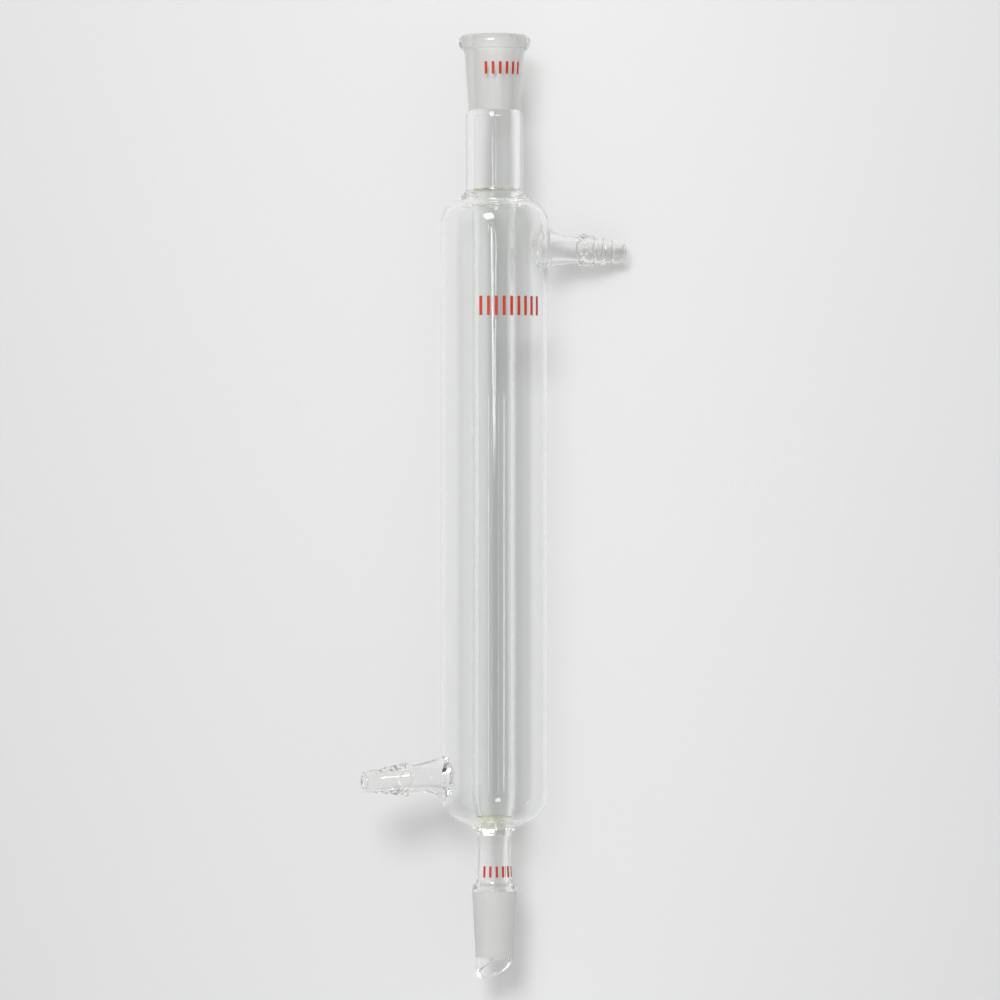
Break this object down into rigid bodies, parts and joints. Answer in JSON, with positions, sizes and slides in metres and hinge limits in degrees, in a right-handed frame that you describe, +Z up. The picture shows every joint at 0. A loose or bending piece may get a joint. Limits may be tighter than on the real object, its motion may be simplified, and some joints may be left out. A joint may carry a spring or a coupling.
{
  "type": "liebig condenser",
  "caption": "Straight glass condenser with a water jacket around its tube, a ground socket, a ground cone with a drip tip, and side arms with hose barbs.",
  "frame": {"origin": "on the bench, under the middle of the condenser's length and under its axis", "axes": "+Y along the condenser's axis towards the socket, +Z up from the bench, outlet arm towards +X"},
  "size_m": [0.086, 0.305, 0.0346],
  "materials": {
    "clear_glass": "clear, fire polished",
    "seal_glass": "clear, thick, faint olive green",
    "ground_glass": "finely ground, matt white; rim and drip tip clear",
    "red_enamel": "fired enamel, satin"
  },
  "bodies": {
    "root": {"ground_socket": "ground_glass", "socket_stem": "clear_glass", "upper_ring_seal": "seal_glass", "water_jacket": "clear_glass", "inner_tube": "clear_glass", "lower_ring_seal": "seal_glass", "cone_stem": "clear_glass", "ground_cone": "ground_glass", "outlet_arm": "clear_glass", "outlet_barb": "clear_glass", "inlet_arm": "clear_glass", "inlet_barb": "clear_glass", "socket_mark": "red_enamel", "jacket_mark": "red_enamel", "stem_mark": "red_enamel"}
  },
  "joints": []
}
